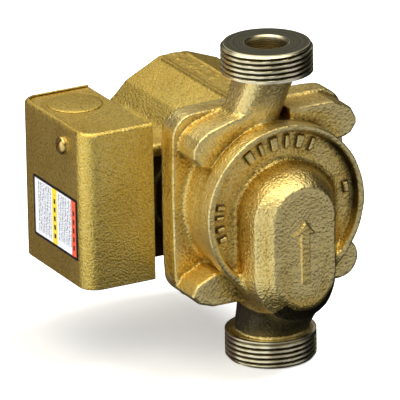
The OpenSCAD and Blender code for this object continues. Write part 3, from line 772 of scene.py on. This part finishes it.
def build_terminal_cover(paint):
    """Sheet bent round three sides of the box, with two round corners and rolled rims."""
    sheet_t, corner_r, bend_r = 1.5, 8.5, 2.2
    x_out, x_in = cover_low[0], cover_high[0]
    y_front, y_rear = cover_low[1], cover_high[1]
    z_low, z_top = cover_low[2], cover_high[2]
    inset = sheet_t / 2
    mid_r = corner_r - inset
    corner_x = x_out + corner_r
    path = [(x_in, y_front + inset), (x_in - 8, y_front + inset), (corner_x + 6, y_front + inset)]
    path += arc((corner_x, y_front + corner_r), mid_r, 270, 180, 12)
    path += [(x_out + inset, y_front + corner_r + 10), (x_out + inset, y_rear - corner_r - 10)]
    path += arc((corner_x, y_rear - corner_r), mid_r, 180, 90, 12)
    path += [(corner_x + 6, y_rear - inset), (x_in - 8, y_rear - inset), (x_in, y_rear - inset)]
    path = np.array(path)
    tangent = np.gradient(path, axis=0)
    tangent[0], tangent[-1] = (-1, 0), (1, 0)
    tangent /= np.linalg.norm(tangent, axis=1)[:, None]
    outward = np.stack([-tangent[:, 1], tangent[:, 0]], 1)
    outward *= np.sign((outward * (path - path.mean(axis=0))).sum(axis=1))[:, None]
    bend = [(inset - bend_r * (1 - math.cos(a)), z_top - bend_r * (1 - math.sin(a)))
            for a in np.radians(np.arange(0, 91, 15))]
    lip = [(inset - bend_r - 0.3, z_top - 0.15), (inset - bend_r - 0.4, z_top - 0.5), (-inset - 0.5, z_top - 0.9),
           (-inset, z_top - 0.94)]
    foot = [(inset * math.cos(a), z_low + 0.7 + 0.7 * math.sin(a)) for a in np.radians(np.arange(180, 361, 30))]
    section = bend + lip + foot
    stations = []
    for point, out in zip(path, outward):
        stations.append([(point[0] + offset * out[0], point[1] + offset * out[1], z) for offset, z in section])
    obj = rings("cover_shell", [np.array(s) for s in stations], closed=False)
    bm = bmesh.new()
    bm.from_mesh(obj.data)
    around = len(section)
    bm.verts.ensure_lookup_table()
    for start in (0, (len(stations) - 1) * around):
        bm.faces.new([bm.verts[start + i] for i in range(around)])
    screw_y, screw_z = (box_mm("cover_screw")[0][1:] + box_mm("cover_screw")[1][1:]) / 2
    bmesh.ops.recalc_face_normals(bm, faces=bm.faces)
    bm.to_mesh(obj.data)
    bm.free()
    drill_x(obj, screw_y, screw_z, 2.3, x_out - 2, x_out + 4)
    obj.data.materials.append(paint)
    obj.data.set_sharp_from_angle(angle=math.radians(50))
    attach(obj, "cover")
    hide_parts("terminal_cover")
    return obj


def drill_x(obj, y, z, r, x0, x1):
    """Cuts a round hole along X."""
    bm = bmesh.new()
    turn = Matrix.Translation(Vector(((x0 + x1) / 2, y, z)) * MM) @ Matrix.Rotation(math.pi / 2, 4, "Y")
    bmesh.ops.create_cone(bm, cap_ends=True, segments=32, radius1=r * MM, radius2=r * MM, depth=(x1 - x0) * MM,
                          matrix=turn)
    tool = from_bmesh("drill", bm)
    boolean = obj.modifiers.new("hole", "BOOLEAN")
    boolean.operation = "DIFFERENCE"
    boolean.solver = "EXACT"
    boolean.object = tool
    apply_modifiers(obj)
    bpy.data.objects.remove(tool)


def apply_modifiers(obj):
    graph = bpy.context.evaluated_depsgraph_get()
    mesh = bpy.data.meshes.new_from_object(obj.evaluated_get(graph))
    obj.modifiers.clear()
    obj.data = mesh


def soften_edges(obj, width_mm, segments=3, angle=30):
    """A bevel for crisp CAD edges, so that they catch the light."""
    bevel = obj.modifiers.new("soft_edges", "BEVEL")
    bevel.width = width_mm * MM
    bevel.segments = segments
    bevel.limit_method = "ANGLE"
    bevel.angle_limit = math.radians(angle)
    bevel.harden_normals = False
    obj.data.set_sharp_from_angle(angle=math.radians(angle))


def lathe(name, profile, centre, axis, around=64):
    """Turned piece: profile is a list of (radius, height along the axis) from pole to pole, in millimetres."""
    turn = Vector((0, 0, 1)).rotation_difference(Vector(axis)).to_matrix()
    bm = bmesh.new()
    rows = []
    for radius, height in profile:
        if radius < 1e-6:
            rows.append([bm.verts.new((turn @ Vector((0, 0, height)) + Vector(centre)) * MM)])
            continue
        row = []
        for i in range(around):
            a = 2 * math.pi * i / around
            local = Vector((radius * math.cos(a), radius * math.sin(a), height))
            row.append(bm.verts.new((turn @ local + Vector(centre)) * MM))
        rows.append(row)
    for one, other in zip(rows, rows[1:]):
        for i in range(around):
            j = (i + 1) % around
            if len(one) == 1:
                bm.faces.new((one[0], other[i], other[j]))
            elif len(other) == 1:
                bm.faces.new((one[i], other[0], one[j]))
            else:
                bm.faces.new((one[i], other[i], other[j], one[j]))
    return from_bmesh(name, bm, smooth_angle=40)


def build_conduit_blank(paint):
    """Pressed disc in the upper conduit entry, with a rolled lip and a slightly domed middle."""
    low, high = box_mm("conduit_blank")
    centre = (low + high) / 2
    top, panel, r = high[2], high[2] - 0.9, (high[0] - low[0]) / 2
    bottom = low[2]
    entry_r = 11.0
    plug = [(0, bottom), (entry_r - 1, bottom), (entry_r, bottom + 0.6), (entry_r, panel - 0.02)]
    lip = [(0.7, -0.02), (0.7, 0.1), (0.1, 0.12), (0, 0.22), (0.1, 0.34), (0.5, 0.44)]
    profile = plug + [(r - inward, panel + rise) for inward, rise in lip]
    profile += [((r - 0.5) * math.cos(a), panel + 0.44 + 0.46 * math.sin(a))
                for a in np.radians((12, 25, 40, 55, 70, 80))]
    profile += [(0, top)]
    obj = lathe("entry_disc", profile, (centre[0], centre[1], 0), (0, 0, 1), around=96)
    obj.data.materials.append(paint)
    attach(obj, "pump_body")
    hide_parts("conduit_blank")


def build_cover_screw(metal):
    """Round-head screw with a worn slot, and its plain shank."""
    low, high = box_mm("cover_screw")
    y, z = (low[1:] + high[1:]) / 2
    head_r, head_h, shank_r = (high[1] - low[1]) / 2, 2.3, 2.0
    seat = low[0] + head_h
    profile = [(0, -high[0]), (shank_r - 0.5, -high[0]), (shank_r, -high[0] + 0.6), (shank_r, -seat),
               (head_r - 0.3, -seat), (head_r, -seat + 0.25)]
    steps = 9
    for i in range(1, steps + 1):
        angle = math.pi / 2 * i / steps
        radius = head_r * math.cos(angle) if i < steps else 0.0
        profile.append((radius, -seat + 0.25 + (head_h - 0.25) * math.sin(angle)))
    obj = lathe("cover_screw_head", profile, (0, y, z), (-1, 0, 0), around=48)
    slot_cut(obj, Vector((low[0], y, z)), (2.6, 1.1, 12.0), math.radians(28))
    obj.data.materials.append(metal)
    obj.data.set_sharp_from_angle(angle=math.radians(35))
    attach(obj, "cover_screw")
    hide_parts("cover_screw")


def slot_cut(obj, centre, size, tilt):
    """Cuts a tilted screwdriver slot across a head that faces -X."""
    bm = bmesh.new()
    scale = Matrix.Diagonal((*[s * MM for s in size], 1))
    place = Matrix.Translation(centre * MM) @ Matrix.Rotation(tilt, 4, "X") @ scale
    bmesh.ops.create_cube(bm, size=1.0, matrix=place)
    tool = from_bmesh("slot_tool", bm)
    boolean = obj.modifiers.new("slot", "BOOLEAN")
    boolean.operation = "DIFFERENCE"
    boolean.solver = "EXACT"
    boolean.object = tool
    apply_modifiers(obj)
    bpy.data.objects.remove(tool)


def build_label(material):
    """Film stuck on the cover: thin, with rounded corners."""
    low, high = box_mm("cover_label")
    r = 1.2
    corners = []
    for cy, cz, start in ((high[1] - r, high[2] - r, 0), (low[1] + r, high[2] - r, 90),
                          (low[1] + r, low[2] + r, 180), (high[1] - r, low[2] + r, 270)):
        corners += arc((cy, cz), r, start, start + 90, 5)
    bm = bmesh.new()
    face = bm.faces.new([bm.verts.new(Vector((high[0], y, z)) * MM) for y, z in corners])
    made = bmesh.ops.extrude_face_region(bm, geom=[face])
    moved = [v for v in made["geom"] if isinstance(v, bmesh.types.BMVert)]
    bmesh.ops.translate(bm, verts=moved, vec=Vector((low[0] - high[0], 0, 0)) * MM)
    obj = from_bmesh("label_film", bm, smooth_angle=30)
    obj.data.materials.append(material)
    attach(obj, "cover")
    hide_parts("cover_label")


# ---- Everything put together ----

paint = gold_paint()
zinc = plain_metal("zinc_plate", (0.76, 0.70, 0.50), 0.28)
turned_bronze = machined_bronze()

raw_bronze = cast_bronze()
build_pump_housing(raw_bronze)
build_arrow(raw_bronze)
build_collar("inlet_collar", 0.0, 1, turned_bronze)
build_collar("outlet_collar", PORT_LENGTH, -1, turned_bronze)
build_motor_housing()
build_terminal_cover(paint)
build_conduit_blank(paint)
build_cover_screw(plain_metal("gilt_screw", (0.90, 0.66, 0.22), 0.26))
build_label(label_print())

steel = plain_metal("stainless", (0.70, 0.71, 0.72), 0.30)
ceramic = plain_plastic("ceramic", (0.86, 0.83, 0.76), 0.25)
rubber = plain_plastic("rubber_seal", (0.030, 0.030, 0.033), 0.6)
brass = plain_metal("brass_turned", (0.80, 0.60, 0.25), 0.26)
CAD_FINISH = {
    "neck_ring": steel,
    "housing_gasket": rubber,
    "bearing_plate": steel,
    "front_bearing": ceramic,
    "rotor_can": steel,
    "rear_bearing": ceramic,
    "stator_core": banded("laminations", (0.34, 0.34, 0.35), (0.10, 0.10, 0.11), 0.9, 1, 0.9),
    "stator_windings": banded("windings", (0.62, 0.27, 0.11), (0.20, 0.07, 0.03), 0.8, 1, 0.6),
    "motor_screws": zinc,
    "rear_plate": steel,
    "lead_grommet": rubber,
    "stator_leads": plain_plastic("lead_insulation", (0.36, 0.06, 0.04), 0.5),
    "terminal_base": paint,
    "base_screws": zinc,
    "cover_pillar": zinc,
    "terminal_block": plain_plastic("grey_plastic", (0.42, 0.43, 0.44), 0.5),
    "terminal_screws": brass,
    "capacitor": plain_plastic("white_plastic", (0.76, 0.76, 0.73), 0.38),
    "capacitor_clip": steel,
    "earth_screw": brass,
    "impeller": plain_plastic("composite", (0.11, 0.12, 0.13), 0.42),
    "impeller_lock": steel,
    "shaft": ceramic,
    "rotor_core": banded("rotor_laminations", (0.36, 0.36, 0.37), (0.12, 0.12, 0.13), 0.9, 1, 0.9),
    "rotor_sleeve": steel,
    "thrust_bearing": plain_plastic("carbon", (0.05, 0.05, 0.055), 0.35),
    "thrust_mount": rubber,
    "vent_gasket": rubber,
    "vent_plug": brass,
    "cover_screw_washer": zinc,
}
for name, material in CAD_FINISH.items():
    nodes[name].data.materials.clear()
    nodes[name].data.materials.append(material)
for name in ("motor_screws", "vent_plug", "terminal_base", "base_screws", "terminal_block", "rear_plate"):
    soften_edges(nodes[name], 0.25)


# ---- Studio ----


def build_camera():
    """Long lens from the front left, a little above, with the picture's slight roll."""
    azimuth, elevation, roll = math.radians(-27.78), math.radians(19.97), math.radians(-1.03)
    target, distance = Vector((-24.62, 20.0, 72.8)) * MM, 3.0
    level = math.cos(elevation)
    back = Vector((math.sin(azimuth) * level, -math.cos(azimuth) * level, math.sin(elevation)))
    right = Vector((math.cos(azimuth), math.sin(azimuth), 0))
    up = back.cross(right)
    tilted_right = math.cos(roll) * right + math.sin(roll) * up
    tilted_up = -math.sin(roll) * right + math.cos(roll) * up
    data = bpy.data.cameras.new("camera")
    data.lens, data.sensor_width = 595.5, 36.0
    data.clip_start, data.clip_end = 0.1, 20.0
    camera = bpy.data.objects.new("camera", data)
    bpy.context.scene.collection.objects.link(camera)
    axes = Matrix((tilted_right, tilted_up, back)).transposed().to_4x4()
    camera.matrix_world = Matrix.Translation(target + back * distance) @ axes
    bpy.context.scene.camera = camera


FLOOR_SHARE, FLOOR_GLOW = 0.72, 0.46


def build_floor():
    half = 4.0
    corners = np.array([(-half, -half, 0), (half, -half, 0), (half, half, 0), (-half, half, 0)])
    obj = mesh_from("floor", corners / MM, [(0, 1, 2, 3)])
    s = Shader("floor", Roughness=0.9, Base_Color=(FLOOR_SHARE, FLOOR_SHARE, FLOOR_SHARE, 1.0))
    s.bsdf.inputs["Specular IOR Level"].default_value = 0.0
    s.bsdf.inputs["Emission Color"].default_value = (1, 1, 1, 1)
    s.bsdf.inputs["Emission Strength"].default_value = FLOOR_GLOW
    obj.data.materials.append(s.material)
    obj.visible_glossy = False
    obj.visible_shadow = False


def area_light(name, position, target, size, power):
    data = bpy.data.lights.new(name, "AREA")
    data.shape = "RECTANGLE"
    data.size, data.size_y = size
    data.energy = power
    obj = bpy.data.objects.new(name, data)
    bpy.context.scene.collection.objects.link(obj)
    obj.location = position
    obj.rotation_euler = (Vector(target) - Vector(position)).to_track_quat("-Z", "Y").to_euler()
    obj.visible_glossy = False


# Soft patches of light seen by reflections: direction, full and fading angles, colour, and the lowest height lit
WORLD_LOBES = [
    ((0, 0, 1), 178, 180, (0.008, 0.009, 0.010), -1.1),
    ((-0.20, -0.10, 0.97), 22, 56, (2.05, 1.98, 1.78), -1.1),
    ((0.22, 0.83, 0.50), 16, 42, (0.46, 0.43, 0.36), 0.22),
    ((0.44, -0.83, -0.20), 14, 40, (0.54, 0.54, 0.58), -0.55),
    ((-0.35, -0.90, -0.18), 8, 34, (0.34, 0.34, 0.35), -0.60),
    ((-0.92, -0.20, -0.28), 34, 50, (0.82, 0.84, 0.86), -0.80),
    ((-0.86, 0.30, 0.22), 12, 34, (0.62, 0.58, 0.54), -1.1),
    ((-0.50, 0.80, -0.32), 12, 40, (0.10, 0.07, 0.08), -1.1),
]


def build_world():
    world = bpy.data.worlds.new("studio")
    world.use_nodes = True
    tree = world.node_tree
    tree.nodes.clear()
    background = tree.nodes.new("ShaderNodeBackground")
    output = tree.nodes.new("ShaderNodeOutputWorld")
    place = tree.nodes.new("ShaderNodeTexCoord")
    height = tree.nodes.new("ShaderNodeSeparateXYZ")
    tree.links.new(place.outputs["Generated"], height.inputs[0])
    total = None
    for centre, full_deg, none_deg, colour, lowest in WORLD_LOBES:
        aim = tree.nodes.new("ShaderNodeVectorMath")
        aim.operation = "DOT_PRODUCT"
        tree.links.new(place.outputs["Generated"], aim.inputs[0])
        aim.inputs[1].default_value = Vector(centre).normalized()
        fade = tree.nodes.new("ShaderNodeMapRange")
        fade.interpolation_type = "SMOOTHSTEP"
        tree.links.new(aim.outputs["Value"], fade.inputs["Value"])
        fade.inputs["From Min"].default_value = math.cos(math.radians(none_deg))
        fade.inputs["From Max"].default_value = math.cos(math.radians(full_deg))
        above = tree.nodes.new("ShaderNodeMapRange")
        above.inputs["From Min"].default_value, above.inputs["From Max"].default_value = lowest, lowest + 0.2
        tree.links.new(height.outputs["Z"], above.inputs["Value"])
        lit = tree.nodes.new("ShaderNodeMath")
        lit.operation = "MULTIPLY"
        tree.links.new(fade.outputs[0], lit.inputs[0])
        tree.links.new(above.outputs[0], lit.inputs[1])
        glow = tree.nodes.new("ShaderNodeVectorMath")
        glow.operation = "SCALE"
        glow.inputs[0].default_value = colour
        tree.links.new(lit.outputs[0], glow.inputs["Scale"])
        if total is None:
            total = glow.outputs[0]
            continue
        add = tree.nodes.new("ShaderNodeVectorMath")
        tree.links.new(total, add.inputs[0])
        tree.links.new(glow.outputs[0], add.inputs[1])
        total = add.outputs[0]
    tree.links.new(total, background.inputs["Color"])
    tree.links.new(background.outputs[0], output.inputs[0])
    bpy.context.scene.world = world


build_camera()
build_floor()
build_world()
centre = (-0.02, 0.02, 0.08)
area_light("key", (0.50, -0.10, 1.15), centre, (0.6, 0.6), 24)
bpy.context.scene.view_settings.view_transform = "Standard"
